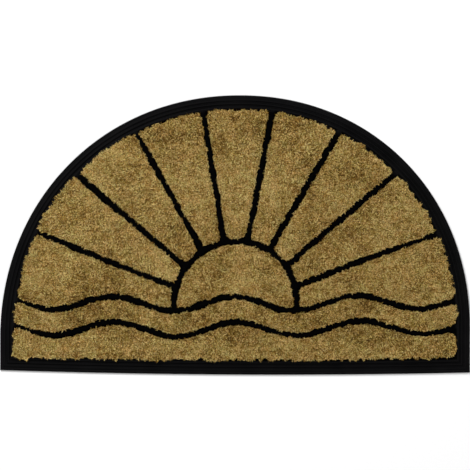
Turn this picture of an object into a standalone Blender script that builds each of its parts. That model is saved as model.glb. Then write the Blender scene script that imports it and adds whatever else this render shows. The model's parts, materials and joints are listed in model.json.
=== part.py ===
"""Half-round coir doormat: a moulded rubber tray that holds twelve blocks of coir brush pile.

The mat lies flat. Its front edge faces -Y and its arched back faces +Y. The origin is on the
floor, under the middle of the mat. Ribs in the tray draw a half-round sun with eight rays
over two waves, and each pocket between them is filled by its own block of pile.
"""

import math
from collections import namedtuple

import bmesh
import bpy
from mathutils import Vector, noise

# The outline from above: an arch a little fuller than half an ellipse, on two short straight sides
WIDTH = 0.762
SIDE_HEIGHT = 0.0585
ARCH_HEIGHT = 0.3872
ARCH_POWER = 2.075  # 2 would be a true ellipse
LEAN = 0.02  # the arch and the rays lean this much towards +X, as the real moulding does
FRONT_BOW = 0.0075  # the front edge bows out, furthest a little right of the middle
BOW_MIDDLE = 0.073
DEPTH = FRONT_BOW + SIDE_HEIGHT + ARCH_HEIGHT
FRONT = -DEPTH / 2
SPRING_Y = FRONT + FRONT_BOW + SIDE_HEIGHT  # where the arch starts
ARCH_STEPS = 72
FRONT_STEPS = 12

# The tray's section from its outer edge inwards: a flange, then three ridges that step up
BASE = 0.003
RimStep = namedtuple("RimStep", "inset height")
RIM_PROFILE = (
    RimStep(0.0000, 0.0034),  # flange
    RimStep(0.0012, 0.0042),
    RimStep(0.0034, 0.0044),
    RimStep(0.0050, 0.0040),
    RimStep(0.0066, 0.0060),  # outer ridge
    RimStep(0.0086, 0.0062),
    RimStep(0.0100, 0.0046),
    RimStep(0.0112, 0.0046),
    RimStep(0.0126, 0.0072),  # middle ridge
    RimStep(0.0146, 0.0074),
    RimStep(0.0160, 0.0052),
    RimStep(0.0172, 0.0052),
    RimStep(0.0186, 0.0082),  # inner ridge, which holds the pile
    RimStep(0.0218, 0.0085),
    RimStep(0.0224, BASE),
)
RIDGE_MIDDLE = 0.0204  # inset of the middle of the inner ridge, where the ribs end inside it
RIM_WIDTH = RIM_PROFILE[-1].inset

# The ribs that draw the pattern
RIB_WIDTH = 0.010
RIB_TOP = 0.0079
RIB_ROOT = 0.0015  # the ribs start inside the base
SUN_RADIUS = 0.100
SUN_Y = FRONT + 0.1162
SUN_STEPS = 26
RAY_COUNT = 8
SECTOR = math.radians(180 / (RAY_COUNT + 1))
RAY_X = -0.0025  # the rays meet here, a little below the sun's middle
RAY_Y = FRONT + 0.1085
RAY_REACH = 0.45
Wave = namedtuple("Wave", "middle swing length shift")
UPPER_WAVE = Wave(FRONT + 0.1159, 0.0111, 0.1978, 0.0)
LOWER_WAVE = Wave(FRONT + 0.0752, 0.0108, 0.1986, 0.0041)
WAVE_STEPS = 60
WAVE_REACH = 0.4  # the waves run this far each way from the middle, past the tray's edge

# The pile
GAP = 0.0003
PILE_BOTTOM = BASE + GAP
PILE_LEDGE = 0.0088  # just over the ribs and the inner ridge, where the pile starts to spread
PILE_SPREAD_AT = 0.0104
PILE_TOP = 0.0126
PILE_SPREAD = 0.0008  # how far the pile leans out over the rubber, on average
SPREAD_SWING = 0.0007
SPREAD_SIZE = 0.018
RIM_DROP = 0.0006  # the pile's upper edge is lower than its middle
RIM_LEAN = 0.4  # share of the spread that the upper edge has
LUMP_HEIGHT = 0.0006
LUMP_SIZE = 0.035
GRID = 0.021
CORNER_CUT = 0.004
CORNER_ANGLE = math.radians(40)
CORNER_STEPS = 2

WELD = 0.00001
FLAT_ANGLE = math.radians(0.2)
SMOOTH_ANGLE = math.radians(30)

RUBBER_COLOUR = (0.008, 0.008, 0.0085, 1)
COIR_COLOUR = (0.227, 0.147, 0.042, 1)


def clear_scene():
    for thing in list(bpy.data.objects):
        bpy.data.objects.remove(thing)


def make_collection(name):
    collection = bpy.data.collections.new(name)
    bpy.context.scene.collection.children.link(collection)
    return collection


def make_material(name, colour, roughness, metallic):
    material = bpy.data.materials.new(name)
    material.use_nodes = True
    shader = material.node_tree.nodes["Principled BSDF"]
    shader.inputs["Base Color"].default_value = colour
    shader.inputs["Roughness"].default_value = roughness
    shader.inputs["Metallic"].default_value = metallic
    return material


def add_object(name, mesh, collection):
    thing = bpy.data.objects.new(name, mesh)
    collection.objects.link(thing)
    return thing


def add_guide(name, mesh, collection):
    """An object that only cuts or joins others."""
    guide = add_object(name, mesh, collection)
    guide.hide_render = True
    guide.display_type = "WIRE"
    return guide


def mesh_from(bm, name):
    mesh = bpy.data.meshes.new(name)
    bm.to_mesh(mesh)
    bm.free()
    return mesh


def leaned(x, y):
    return x + LEAN * max(y - SPRING_Y, 0), y


def front_edge(x):
    from_middle = (x - BOW_MIDDLE) / (WIDTH / 2 + BOW_MIDDLE)
    return FRONT + FRONT_BOW * from_middle**2


def arch_point(turn):
    """A point of the arch, at this angle from its right end."""
    across, up = math.cos(turn), max(math.sin(turn), 0)
    share = 2 / ARCH_POWER
    x = WIDTH / 2 * math.copysign(abs(across) ** share, across)
    return leaned(x, SPRING_Y + ARCH_HEIGHT * up**share)


def outline_points():
    """The mat's outline, anticlockwise from the arch's right end."""
    half = WIDTH / 2
    arch = [arch_point(math.pi * step / ARCH_STEPS) for step in range(ARCH_STEPS + 1)]
    places = [half * (2 * step / FRONT_STEPS - 1) for step in range(FRONT_STEPS + 1)]
    front = [(x, front_edge(x)) for x in places]
    return arch + front


def outline_face():
    """A mesh to be edited that holds the outline as one flat face at floor level, and that face."""
    curve = bpy.data.curves.new("outline", "CURVE")
    curve.dimensions = "2D"
    curve.fill_mode = "BOTH"
    points = outline_points()
    spline = curve.splines.new("POLY")
    spline.points.add(len(points) - 1)
    for point, (x, y) in zip(spline.points, points):
        point.co = (x, y, 0, 1)
    spline.use_cyclic_u = True
    drawn = bpy.data.objects.new("outline", curve)
    bpy.context.scene.collection.objects.link(drawn)
    graph = bpy.context.evaluated_depsgraph_get()
    mesh = bpy.data.meshes.new_from_object(drawn.evaluated_get(graph))
    bpy.data.objects.remove(drawn)
    bm = bmesh.new()
    bm.from_mesh(mesh)
    bmesh.ops.remove_doubles(bm, verts=bm.verts[:], dist=WELD)
    bmesh.ops.dissolve_faces(bm, faces=bm.faces[:])
    return bm, next(iter(bm.faces))


def raise_face(bm, face, height):
    """Extrudes a flat face up to a height and returns the new top face."""
    grown = bmesh.ops.extrude_face_region(bm, geom=[face])
    top = next(item for item in grown["geom"] if isinstance(item, bmesh.types.BMFace))
    bmesh.ops.translate(bm, verts=top.verts[:], vec=(0, 0, height))
    return top


def plate(name, inset, bottom, top, collection):
    """A flat plate of the mat's outline, drawn in by an inset."""
    bm, face = outline_face()
    ring = bmesh.ops.inset_region(
        bm, faces=[face], thickness=inset, use_even_offset=True, use_boundary=True
    )
    bmesh.ops.delete(bm, geom=ring["faces"], context="FACES")
    raise_face(bm, face, top - bottom)
    bmesh.ops.translate(bm, verts=bm.verts[:], vec=(0, 0, bottom))
    bmesh.ops.recalc_face_normals(bm, faces=bm.faces[:])
    return add_guide(name, mesh_from(bm, name), collection)


def wave_height(wave, x):
    return wave.middle + wave.swing * math.cos(math.tau * (x - wave.shift) / wave.length)


def wave_line(wave):
    places = [WAVE_REACH * (2 * step / WAVE_STEPS - 1) for step in range(WAVE_STEPS + 1)]
    return [(x, wave_height(wave, x)) for x in places]


def sun_line():
    """Points round the half circle, with a straight foot at each end down to the wave."""
    turns = [math.pi * step / SUN_STEPS for step in range(SUN_STEPS + 1)]
    arc = [(SUN_RADIUS * math.cos(t), SUN_Y + SUN_RADIUS * math.sin(t)) for t in turns]
    foot_y = wave_height(UPPER_WAVE, SUN_RADIUS)
    points = [(SUN_RADIUS, foot_y)] + arc + [(-SUN_RADIUS, foot_y)]
    return [leaned(x, y) for x, y in points]


def ray_line(number):
    """The ends of one ray, from the sun's rim out past the tray's edge, counted from the right."""
    turn = SECTOR * (number + 1)
    along = Vector((math.cos(turn), math.sin(turn)))
    meeting = Vector((RAY_X, RAY_Y))
    to_sun = Vector((0, SUN_Y)) - meeting
    middle = to_sun.dot(along)
    rim = middle + math.sqrt(SUN_RADIUS**2 - to_sun.length_squared + middle**2)
    return [leaned(*(meeting + along * reach)) for reach in (rim, RAY_REACH)]


def pattern_lines():
    """The middle line of each rib, by name."""
    lines = {
        "sun": sun_line(),
        "upper_wave": wave_line(UPPER_WAVE),
        "lower_wave": wave_line(LOWER_WAVE),
    }
    for number in range(RAY_COUNT):
        lines[f"ray_{number + 1}"] = ray_line(number)
    return lines


def wall(name, points, width, bottom, top, collection):
    """An upright wall along a line: an open strip, thickened to both sides."""
    bm = bmesh.new()
    corners = [bm.verts.new((x, y, bottom)) for x, y in points]
    edges = [bm.edges.new(pair) for pair in zip(corners, corners[1:])]
    grown = bmesh.ops.extrude_edge_only(bm, edges=edges)
    raised = [item for item in grown["geom"] if isinstance(item, bmesh.types.BMVert)]
    bmesh.ops.translate(bm, verts=raised, vec=(0, 0, top - bottom))
    strip = add_guide(name, mesh_from(bm, name), collection)
    thickness = strip.modifiers.new("thickness", "SOLIDIFY")
    thickness.thickness = width
    thickness.offset = 0
    thickness.use_even_offset = True
    return strip


def combine(thing, other, operation):
    cut = thing.modifiers.new(other.name, "BOOLEAN")
    cut.operation = operation
    cut.object = other
    cut.solver = "EXACT"


def settle(thing):
    """Turns an object's modifiers into its mesh, with flat neighbours joined."""
    graph = bpy.context.evaluated_depsgraph_get()
    mesh = bpy.data.meshes.new_from_object(thing.evaluated_get(graph))
    thing.modifiers.clear()
    bm = bmesh.new()
    bm.from_mesh(mesh)
    bmesh.ops.remove_doubles(bm, verts=bm.verts[:], dist=WELD)
    bmesh.ops.dissolve_limit(bm, angle_limit=FLAT_ANGLE, verts=bm.verts[:], edges=bm.edges[:])
    bm.to_mesh(mesh)
    bm.free()
    thing.data = mesh


def make_tray(collection, guides):
    """The rubber moulding: base, ridged border and ribs, in one."""
    bm, face = outline_face()
    top = raise_face(bm, face, RIM_PROFILE[0].height)
    for last, step in zip(RIM_PROFILE, RIM_PROFILE[1:]):
        width = step.inset - last.inset
        bmesh.ops.inset_region(bm, faces=[top], thickness=width, use_even_offset=True)
        bmesh.ops.translate(bm, verts=top.verts[:], vec=(0, 0, step.height - last.height))
    bmesh.ops.recalc_face_normals(bm, faces=bm.faces[:])
    tray = add_object("rubber_tray", mesh_from(bm, "rubber_tray"), collection)
    field = plate("rib_field", RIDGE_MIDDLE, 0, PILE_TOP, guides)
    for name, points in pattern_lines().items():
        rib = wall(f"rib_{name}", points, RIB_WIDTH, RIB_ROOT, RIB_TOP, guides)
        combine(rib, field, "INTERSECT")
        combine(tray, rib, "UNION")
    settle(tray)
    tray.data.materials.append(make_material("rubber", RUBBER_COLOUR, 0.62, 0))
    return tray


def block_name(middle):
    """Names a block of pile by where its middle lies."""
    if middle.y < wave_height(LOWER_WAVE, middle.x):
        return "coir_foot"
    if middle.y < wave_height(UPPER_WAVE, middle.x):
        return "coir_wave"
    if math.hypot(middle.x, middle.y - SUN_Y) < SUN_RADIUS:
        return "coir_sun"
    turn_from_left = math.pi - math.atan2(middle.y - RAY_Y, middle.x - RAY_X)
    return f"coir_ray_{int(turn_from_left / SECTOR) + 1}"


def split_blocks(thing):
    """Parts an object into its separate bodies, each an object of its own."""
    bpy.ops.object.select_all(action="DESELECT")
    thing.select_set(True)
    bpy.context.view_layer.objects.active = thing
    bpy.ops.object.mode_set(mode="EDIT")
    bpy.ops.mesh.select_all(action="SELECT")
    bpy.ops.mesh.separate(type="LOOSE")
    bpy.ops.object.mode_set(mode="OBJECT")
    return list(bpy.context.selected_objects)


def is_side(face):
    return abs(face.normal.z) < 0.5


def cut_across(bm, faces, place, normal):
    """Cuts some of the faces along a plane."""
    edges = {edge for face in faces for edge in face.edges}
    corners = {corner for face in faces for corner in face.verts}
    geometry = [*corners, *edges, *faces]
    bmesh.ops.bisect_plane(bm, geom=geometry, dist=WELD, plane_co=place, plane_no=normal)


def round_corners(bm):
    """Rounds a block's upright corners."""
    upright = [e for e in bm.edges if all(is_side(f) for f in e.link_faces)]
    corners = [e for e in upright if e.calc_face_angle() > CORNER_ANGLE]
    bmesh.ops.bevel(
        bm, geom=corners, offset=CORNER_CUT, segments=CORNER_STEPS, profile=0.5, affect="EDGES"
    )


def add_grid(bm):
    """Cuts the top and sides along a square grid, and the sides at two heights."""
    for axis, reach in ((0, WIDTH / 2), (1, DEPTH / 2)):
        normal = Vector((0, 0, 0))
        normal[axis] = 1
        for line in range(-int(reach / GRID), int(reach / GRID) + 1):
            faces = [f for f in bm.faces if f.normal.z > -0.5]
            cut_across(bm, faces, normal * line * GRID, normal)
    for height in (PILE_LEDGE, PILE_SPREAD_AT):
        cut_across(bm, [f for f in bm.faces if is_side(f)], (0, 0, height), (0, 0, 1))


def spread_at(place):
    """How far the pile leans out at a place on a block's edge."""
    return PILE_SPREAD + SPREAD_SWING * noise.noise(Vector((place.x, place.y, 0)) / SPREAD_SIZE)


def lump_at(place):
    """How much higher or lower than usual the pile is at a place."""
    return LUMP_HEIGHT * noise.noise(Vector((place.x, place.y, 0)) / LUMP_SIZE)


def shape_block(block):
    """Makes an uneven block of pile that leans out over the rubber round it."""
    bm = bmesh.new()
    bm.from_mesh(block.data)
    round_corners(bm)
    add_grid(bm)
    moves = {}
    for corner in bm.verts:
        sides = [face.normal for face in corner.link_faces if is_side(face)]
        outward = sum(sides, Vector()).normalized()
        lean = spread_at(corner.co) if sides else 0
        if corner.co.z > PILE_TOP - WELD:
            drop = RIM_DROP if sides else 0
            lift = Vector((0, 0, lump_at(corner.co) - drop))
            moves[corner] = outward * lean * RIM_LEAN + lift
        elif corner.co.z > PILE_LEDGE + WELD:
            moves[corner] = outward * lean
    for corner, move in moves.items():
        corner.co += move
    bm.to_mesh(block.data)
    bm.free()


def make_blocks(collection, guides):
    """The blocks of pile, one for each pocket of the tray."""
    block = plate("pile", RIM_WIDTH + GAP, PILE_BOTTOM, PILE_TOP, guides)
    for name, points in pattern_lines().items():
        gap = wall(f"gap_{name}", points, RIB_WIDTH + 2 * GAP, 0, PILE_TOP * 2, guides)
        combine(block, gap, "DIFFERENCE")
    settle(block)
    coir = make_material("coir", COIR_COLOUR, 0.95, 0)
    for piece in split_blocks(block):
        guides.objects.unlink(piece)
        collection.objects.link(piece)
        piece.hide_render = False
        piece.display_type = "TEXTURED"
        corners = [corner.co for corner in piece.data.vertices]
        piece.name = block_name(sum(corners, Vector()) / len(corners))
        piece.data.name = piece.name
        shape_block(piece)
        piece.data.materials.append(coir)


def smooth(thing):
    thing.data.shade_smooth()
    thing.data.set_sharp_from_angle(angle=SMOOTH_ANGLE)


def main():
    clear_scene()
    doormat = make_collection("coir_doormat")
    guides = make_collection("guides")
    make_tray(doormat, guides)
    make_blocks(doormat, guides)
    for thing in doormat.objects:
        smooth(thing)


main()
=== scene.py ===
"""Looks of a half-round coir doormat: brush pile set in a moulded rubber tray.

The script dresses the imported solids. Lengths are in metres, and the mat lies on the floor with
its front edge towards -Y.
"""

import json
import math
from collections import namedtuple

import bpy
import numpy as np
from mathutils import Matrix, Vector
from mathutils.bvhtree import BVHTree
from mathutils.geometry import tessellate_polygon

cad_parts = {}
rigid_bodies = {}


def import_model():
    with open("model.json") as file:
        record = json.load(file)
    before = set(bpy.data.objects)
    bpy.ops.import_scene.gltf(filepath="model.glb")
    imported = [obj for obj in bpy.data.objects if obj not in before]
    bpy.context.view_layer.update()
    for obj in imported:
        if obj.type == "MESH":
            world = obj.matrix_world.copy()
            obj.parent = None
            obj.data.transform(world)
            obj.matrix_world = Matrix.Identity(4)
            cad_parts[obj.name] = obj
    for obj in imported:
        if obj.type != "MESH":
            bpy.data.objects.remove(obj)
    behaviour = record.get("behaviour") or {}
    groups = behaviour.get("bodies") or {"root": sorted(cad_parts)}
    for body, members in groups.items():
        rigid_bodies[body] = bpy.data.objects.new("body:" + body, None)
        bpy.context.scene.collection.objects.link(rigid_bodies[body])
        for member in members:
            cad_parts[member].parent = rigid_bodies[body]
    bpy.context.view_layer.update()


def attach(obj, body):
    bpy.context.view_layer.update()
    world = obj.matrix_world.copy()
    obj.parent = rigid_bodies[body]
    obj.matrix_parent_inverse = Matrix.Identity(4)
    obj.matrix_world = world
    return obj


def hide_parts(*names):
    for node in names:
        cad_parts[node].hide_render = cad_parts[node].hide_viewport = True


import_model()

# Rubber tray.
# One black rubber moulding: a thin base sheet with a border of three stepped ridges, mitred at
# the two front corners, and low crowned ribs that draw a rising sun over two waves.

WIDTH = 0.762
SIDE_HEIGHT = 0.0585
ARCH_HEIGHT = 0.3872
ARCH_POWER = 2.075  # 2 would be a true ellipse
LEAN = 0.02  # the arch and the rays lean this much towards +X
FRONT_BOW = 0.0075  # the front edge bows forward this much
BOW_MIDDLE = 0.073  # and furthest here
DEPTH = FRONT_BOW + SIDE_HEIGHT + ARCH_HEIGHT
FRONT = -DEPTH / 2
SPRING_Y = FRONT + FRONT_BOW + SIDE_HEIGHT  # where the arch starts
ARCH_STEPS = 252
FRONT_STEPS = 24  # each piece is longer than the border is wide, so the insets keep their mitres

BASE = 0.003
GROOVE_END = 0.0224
RimStep = namedtuple("RimStep", "inset height")
RIM_SECTION = (
    RimStep(0.0000, 0.0000),
    RimStep(0.0000, 0.0034),  # flange
    RimStep(0.0012, 0.0042),
    RimStep(0.0034, 0.0044),
    RimStep(0.0050, 0.0040),
    RimStep(0.0066, 0.0060),  # outer ridge
    RimStep(0.0086, 0.0062),
    RimStep(0.0100, 0.0046),
    RimStep(0.0112, 0.0046),
    RimStep(0.0126, 0.0072),  # middle ridge
    RimStep(0.0146, 0.0074),
    RimStep(0.0160, 0.0052),
    RimStep(0.0172, 0.0052),
    RimStep(0.0186, 0.0082),  # inner ridge, which holds the pile
    RimStep(0.0218, 0.0085),
    RimStep(GROOVE_END, BASE),
)
EASE = 0.0007  # a mould rounds its corners over about this length
EASE_SHARE = 0.45  # and over no more than this share of the way to the next corner
EASE_CUTS = 3
SMOOTH_UP_TO = math.radians(38)  # edges that turn more than this are shaded sharp
RIDGE_MIDDLE = 0.0204  # the ribs end inside the inner ridge

RIB_HALF = 0.005
RIB_ROOT = 0.0015  # a rib starts inside the base
# The rib's crown, from its side to its middle: share of its half width, height
RIB_CROWN = ((1.0, 0.0062), (0.93, 0.0070), (0.76, 0.0076), (0.42, 0.0079))
FIELD_HEIGHT = 2 * RIB_CROWN[-1][1]  # well over the ribs
SUN_RADIUS = 0.100
SUN_Y = FRONT + 0.1162
SUN_STEPS = 72
RAY_COUNT = 8
SECTOR = math.radians(180 / (RAY_COUNT + 1))
RAYS_MEET = Vector((-0.0025, FRONT + 0.1085))
RAY_REACH = 0.45  # past the border, where each rib is cut off
RAY_STEPS = 30
Wave = namedtuple("Wave", "middle swing length shift")
UPPER_WAVE = Wave(FRONT + 0.1159, 0.0111, 0.1978, 0.0)
LOWER_WAVE = Wave(FRONT + 0.0752, 0.0108, 0.1986, 0.0041)
WAVE_STEPS = 160
WAVE_REACH = 0.4
WELD = 0.00001  # corners closer than this are one
# The mould is a little out of true: about each of these places its ribs are moved this far
Shift = namedtuple("Shift", "x y reach across up")
SHIFTS = (
    Shift(-0.3129, -0.0016, 0.065, 0.0018, 0.0050),  # the lowest ray on the left, at its outer end
    Shift(-0.2150, 0.0700, 0.055, -0.0013, -0.0016),
    Shift(0.0250, 0.0550, 0.042, 0.0010, 0.0),
    Shift(0.0850, -0.0480, 0.018, 0.0012, -0.0014),
    Shift(0.2432, 0.0892, 0.030, -0.0008, 0.0010),
    Shift(0.1135, -0.0713, 0.025, 0.0004, -0.0011),
    Shift(0.2432, -0.0243, 0.050, -0.0005, 0.0014),
    Shift(0.0973, -0.0950, 0.025, -0.0017, 0.0),  # the right foot of the half circle
    Shift(-0.3450, -0.1250, 0.022, 0.0, 0.0034),
    Shift(-0.0900, -0.1669, 0.040, 0.0, -0.0021),
    Shift(0.0665, -0.1345, 0.028, 0.0, -0.0019),
    Shift(0.2594, -0.1588, 0.070, 0.0, 0.0027),  # both waves on the right
)


def nearness(places, spot):
    """From 1 at a spot down to 0 well outside its reach."""
    gap = places - (spot.x, spot.y)
    return np.exp(-0.5 * (gap**2).sum(1) / spot.reach**2)


def out_of_true(places):
    """How far the ribs are moved at each place."""
    moved = np.zeros_like(places)
    for shift in SHIFTS:
        moved += nearness(places, shift)[:, None] * (shift.across, shift.up)
    return moved


def leaned(x, y):
    """A point of the arch or the rays, moved by their lean."""
    return x + LEAN * max(y - SPRING_Y, 0), y


def outline_points():
    """The mat's outline, anticlockwise from the arch's right end."""
    points = []
    share = 2 / ARCH_POWER
    for step in range(ARCH_STEPS + 1):
        across = math.cos(math.pi * step / ARCH_STEPS)
        up = max(math.sin(math.pi * step / ARCH_STEPS), 0)
        x = WIDTH / 2 * math.copysign(abs(across) ** share, across)
        points.append(leaned(x, SPRING_Y + ARCH_HEIGHT * up**share))
    for step in range(FRONT_STEPS + 1):
        x = WIDTH * (step / FRONT_STEPS - 0.5)
        bow = ((x - BOW_MIDDLE) / (WIDTH / 2 + BOW_MIDDLE)) ** 2
        points.append((x, FRONT + FRONT_BOW * bow))
    return points


def eased(section):
    """The border's section with each corner drawn as a small curve."""
    corners = [Vector(step) for step in section]
    rows = [corners[0]]
    for before, corner, after in zip(corners, corners[1:], corners[2:]):
        start, end = (
            corner + (other - corner) * min(EASE_SHARE, EASE / (other - corner).length)
            for other in (before, after)
        )
        for cut in range(EASE_CUTS + 1):
            share = cut / EASE_CUTS
            first, second = start.lerp(corner, share), corner.lerp(end, share)
            rows.append(first.lerp(second, share))
    return rows + [corners[-1]]


def select_only(thing):
    """Leaves one thing selected and active."""
    bpy.ops.object.select_all(action="DESELECT")
    thing.select_set(True)
    bpy.context.view_layer.objects.active = thing


def weld(thing):
    """Joins a thing's doubled corners and turns its faces outwards."""
    select_only(thing)
    bpy.ops.object.mode_set(mode="EDIT")
    bpy.ops.mesh.select_all(action="SELECT")
    bpy.ops.mesh.remove_doubles(threshold=WELD)
    bpy.ops.mesh.normals_make_consistent(inside=False)
    bpy.ops.object.mode_set(mode="OBJECT")


def outline_plate(name):
    """A flat face of the mat's outline on the floor: a filled circle, drawn out to the shape."""
    points = outline_points()
    bpy.ops.object.select_all(action="DESELECT")
    bpy.ops.mesh.primitive_circle_add(vertices=len(points), radius=WIDTH / 2, fill_type="NGON")
    plate = bpy.context.object
    plate.name = name
    for corner, (x, y) in zip(plate.data.vertices, reversed(points)):
        corner.co = (x, y, 0)
    bpy.ops.object.mode_set(mode="EDIT")
    bpy.ops.mesh.select_all(action="SELECT")
    bpy.ops.mesh.normals_make_consistent(inside=False)
    bpy.ops.object.mode_set(mode="OBJECT")
    if plate.data.polygons[0].normal.z < 0:
        bpy.ops.object.mode_set(mode="EDIT")
        bpy.ops.mesh.flip_normals()
        bpy.ops.object.mode_set(mode="OBJECT")
    return plate


def extrude_up(height):
    """Extrudes the selected faces straight up."""
    bpy.ops.mesh.extrude_region_move(TRANSFORM_OT_translate={"value": (0, 0, height)})


def raise_rows(plate, rows):
    """Extrudes a flat plate and insets its top again and again, up and down a section."""
    bpy.ops.object.mode_set(mode="EDIT")
    bpy.ops.mesh.select_mode(type="FACE")
    bpy.ops.mesh.select_all(action="SELECT")
    for last, row in zip(rows, rows[1:]):
        inward, upward = row[0] - last[0], row[1] - last[1]
        if inward < WELD:
            extrude_up(upward)
        else:
            bpy.ops.mesh.inset(thickness=inward, depth=upward, use_even_offset=True)
    bpy.ops.object.mode_set(mode="OBJECT")
    weld(plate)


def rib_field():
    """The body that the ribs are cut down to: all that lies within the inner ridge's middle."""
    field = outline_plate("rib_field")
    bpy.ops.object.mode_set(mode="EDIT")
    bpy.ops.mesh.select_mode(type="FACE")
    bpy.ops.mesh.select_all(action="SELECT")
    bpy.ops.mesh.inset(thickness=RIDGE_MIDDLE, use_even_offset=True)
    bpy.ops.mesh.select_all(action="INVERT")
    bpy.ops.mesh.delete(type="FACE")
    bpy.ops.mesh.select_all(action="SELECT")
    extrude_up(FIELD_HEIGHT)
    bpy.ops.mesh.select_all(action="SELECT")
    bpy.ops.mesh.normals_make_consistent(inside=False)
    bpy.ops.object.mode_set(mode="OBJECT")
    return field


def wave_height(wave, x):
    """How far back a wave lies at a place across the mat."""
    return wave.middle + wave.swing * math.cos(math.tau * (x - wave.shift) / wave.length)


def wave_line(wave):
    """One wave, from past the border on the left to past it on the right."""
    places = [WAVE_REACH * (2 * step / WAVE_STEPS - 1) for step in range(WAVE_STEPS + 1)]
    return [(x, wave_height(wave, x)) for x in places]


def sun_line():
    """The half circle, with a straight foot at each end down to the upper wave."""
    turns = [math.pi * step / SUN_STEPS for step in range(SUN_STEPS + 1)]
    arc = [(SUN_RADIUS * math.cos(t), SUN_Y + SUN_RADIUS * math.sin(t)) for t in turns]
    foot = wave_height(UPPER_WAVE, SUN_RADIUS)
    return [leaned(x, y) for x, y in [(SUN_RADIUS, foot)] + arc + [(-SUN_RADIUS, foot)]]


def ray_line(number):
    """One ray, from the sun's rim out past the border, counted from the right."""
    turn = SECTOR * (number + 1)
    along = Vector((math.cos(turn), math.sin(turn)))
    to_sun = Vector((0, SUN_Y)) - RAYS_MEET
    middle = to_sun.dot(along)
    rim = middle + math.sqrt(SUN_RADIUS**2 - to_sun.length_squared + middle**2)
    reaches = np.linspace(rim, RAY_REACH, RAY_STEPS)
    return [leaned(*(RAYS_MEET + along * reach)) for reach in reaches]


def drawn_curve(name, points, closed):
    """A flat curve through the points."""
    curve = bpy.data.curves.new(name, "CURVE")
    curve.dimensions = "2D"
    spline = curve.splines.new("POLY")
    spline.points.add(len(points) - 1)
    for point, (x, y) in zip(spline.points, points):
        point.co = (x, y, 0, 1)
    spline.use_cyclic_u = closed
    drawn = bpy.data.objects.new(name, curve)
    bpy.context.collection.objects.link(drawn)
    return drawn


def rib_section():
    """The rib's crowned section, as a closed curve: sunk into the base and rounded on top."""
    right = [(RIB_HALF * share, height) for share, height in RIB_CROWN]
    left = [(-across, height) for across, height in reversed(right)]
    around = [(RIB_HALF, RIB_ROOT), *right, *left, (-RIB_HALF, RIB_ROOT)]
    return drawn_curve("rib_section", around, closed=True)


def swept_rib(name, points, section):
    """The rib's section swept along its line."""
    rib = drawn_curve(name, points, closed=False)
    rib.data.bevel_mode = "OBJECT"
    rib.data.bevel_object = section
    rib.data.use_fill_caps = True
    select_only(rib)
    bpy.ops.object.convert(target="MESH")
    rib = bpy.context.object
    weld(rib)
    return rib


def combine(thing, other, operation):
    """Joins another body to a thing, or cuts the thing down to it."""
    bpy.context.view_layer.objects.active = thing
    joint = thing.modifiers.new(operation.lower(), "BOOLEAN")
    joint.operation = operation
    joint.object = other
    joint.solver = "EXACT"
    bpy.ops.object.modifier_apply(modifier=joint.name)


tray = outline_plate("rubber_moulding")
raise_rows(tray, eased(RIM_SECTION))
field = rib_field()
section = rib_section()
lines = [sun_line(), wave_line(UPPER_WAVE), wave_line(LOWER_WAVE)]
lines += [ray_line(number) for number in range(RAY_COUNT)]
for line in lines:
    points = np.array(line)
    rib = swept_rib("rib", points + out_of_true(points), section)
    combine(rib, field, "INTERSECT")
    combine(tray, rib, "UNION")
    bpy.data.objects.remove(rib)
bpy.data.objects.remove(field)
bpy.data.objects.remove(section)
select_only(tray)
bpy.ops.object.shade_smooth_by_angle(angle=SMOOTH_UP_TO)

TINY = 1e-12  # stands in for no rise at all
PLACES_AT_ONCE = 6000  # so many fit in memory with every piece of an outline


def pieces_of(loop):
    """The straight pieces of a closed line, each as its two ends."""
    return np.stack([loop, np.roll(loop, -1, 0)], 1)


def nearest_on(outline, places):
    """For each place: the nearest point of an outline, that point's piece, and if it is inside."""
    start, end = outline[:, 0], outline[:, 1]
    along = end - start
    rise = np.where(abs(along[:, 1]) < TINY, TINY, along[:, 1])
    nearest, inside = np.empty_like(places), np.empty(len(places), bool)
    piece = np.empty(len(places), int)
    for part in np.array_split(np.arange(len(places)), len(places) // PLACES_AT_ONCE + 1):
        here = places[part][:, None]
        share = np.clip(((here - start) * along).sum(2) / (along**2).sum(1), 0, 1)
        foot = start + share[..., None] * along
        best = ((foot - here) ** 2).sum(2).argmin(1)
        nearest[part], piece[part] = foot[np.arange(len(part)), best], best
        x, y = here[..., 0], here[..., 1]
        crossed = (start[:, 1] > y) != (end[:, 1] > y)
        beyond = x < start[:, 0] + (y - start[:, 1]) * along[:, 0] / rise
        inside[part] = (crossed & beyond).sum(1) % 2 == 1
    return nearest, piece, inside


RIM = pieces_of(np.array(outline_points()))


def to_rim(places):
    """The way from each place to the nearest point of the mat's outline."""
    return nearest_on(RIM, places)[0] - places


places = np.array([corner.co[:2] for corner in tray.data.vertices])
from_rim = np.linalg.norm(to_rim(places), axis=1)
border = tray.data.attributes.new("border", "FLOAT", "POINT")
border.data.foreach_set("value", (from_rim < GROOVE_END).astype(np.float32))


def shader_material(name):
    """A new material, its node tree and its one Principled shader."""
    material = bpy.data.materials.new(name)
    material.use_nodes = True
    return material, material.node_tree, material.node_tree.nodes["Principled BSDF"]


def object_place(tree):
    """The place of each point on the mat."""
    return tree.nodes.new("ShaderNodeTexCoord").outputs["Object"]


def attribute_of(tree, name):
    """A value that the mesh carries at each corner."""
    attribute = tree.nodes.new("ShaderNodeAttribute")
    attribute.attribute_name = name
    return attribute.outputs["Fac"]


def noise_of(tree, place, size, detail):
    """A noise texture whose patches are about this size."""
    noise = tree.nodes.new("ShaderNodeTexNoise")
    noise.inputs["Scale"].default_value = 1 / size
    noise.inputs["Detail"].default_value = detail
    tree.links.new(place, noise.inputs["Vector"])
    return noise.outputs["Fac"]


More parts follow.
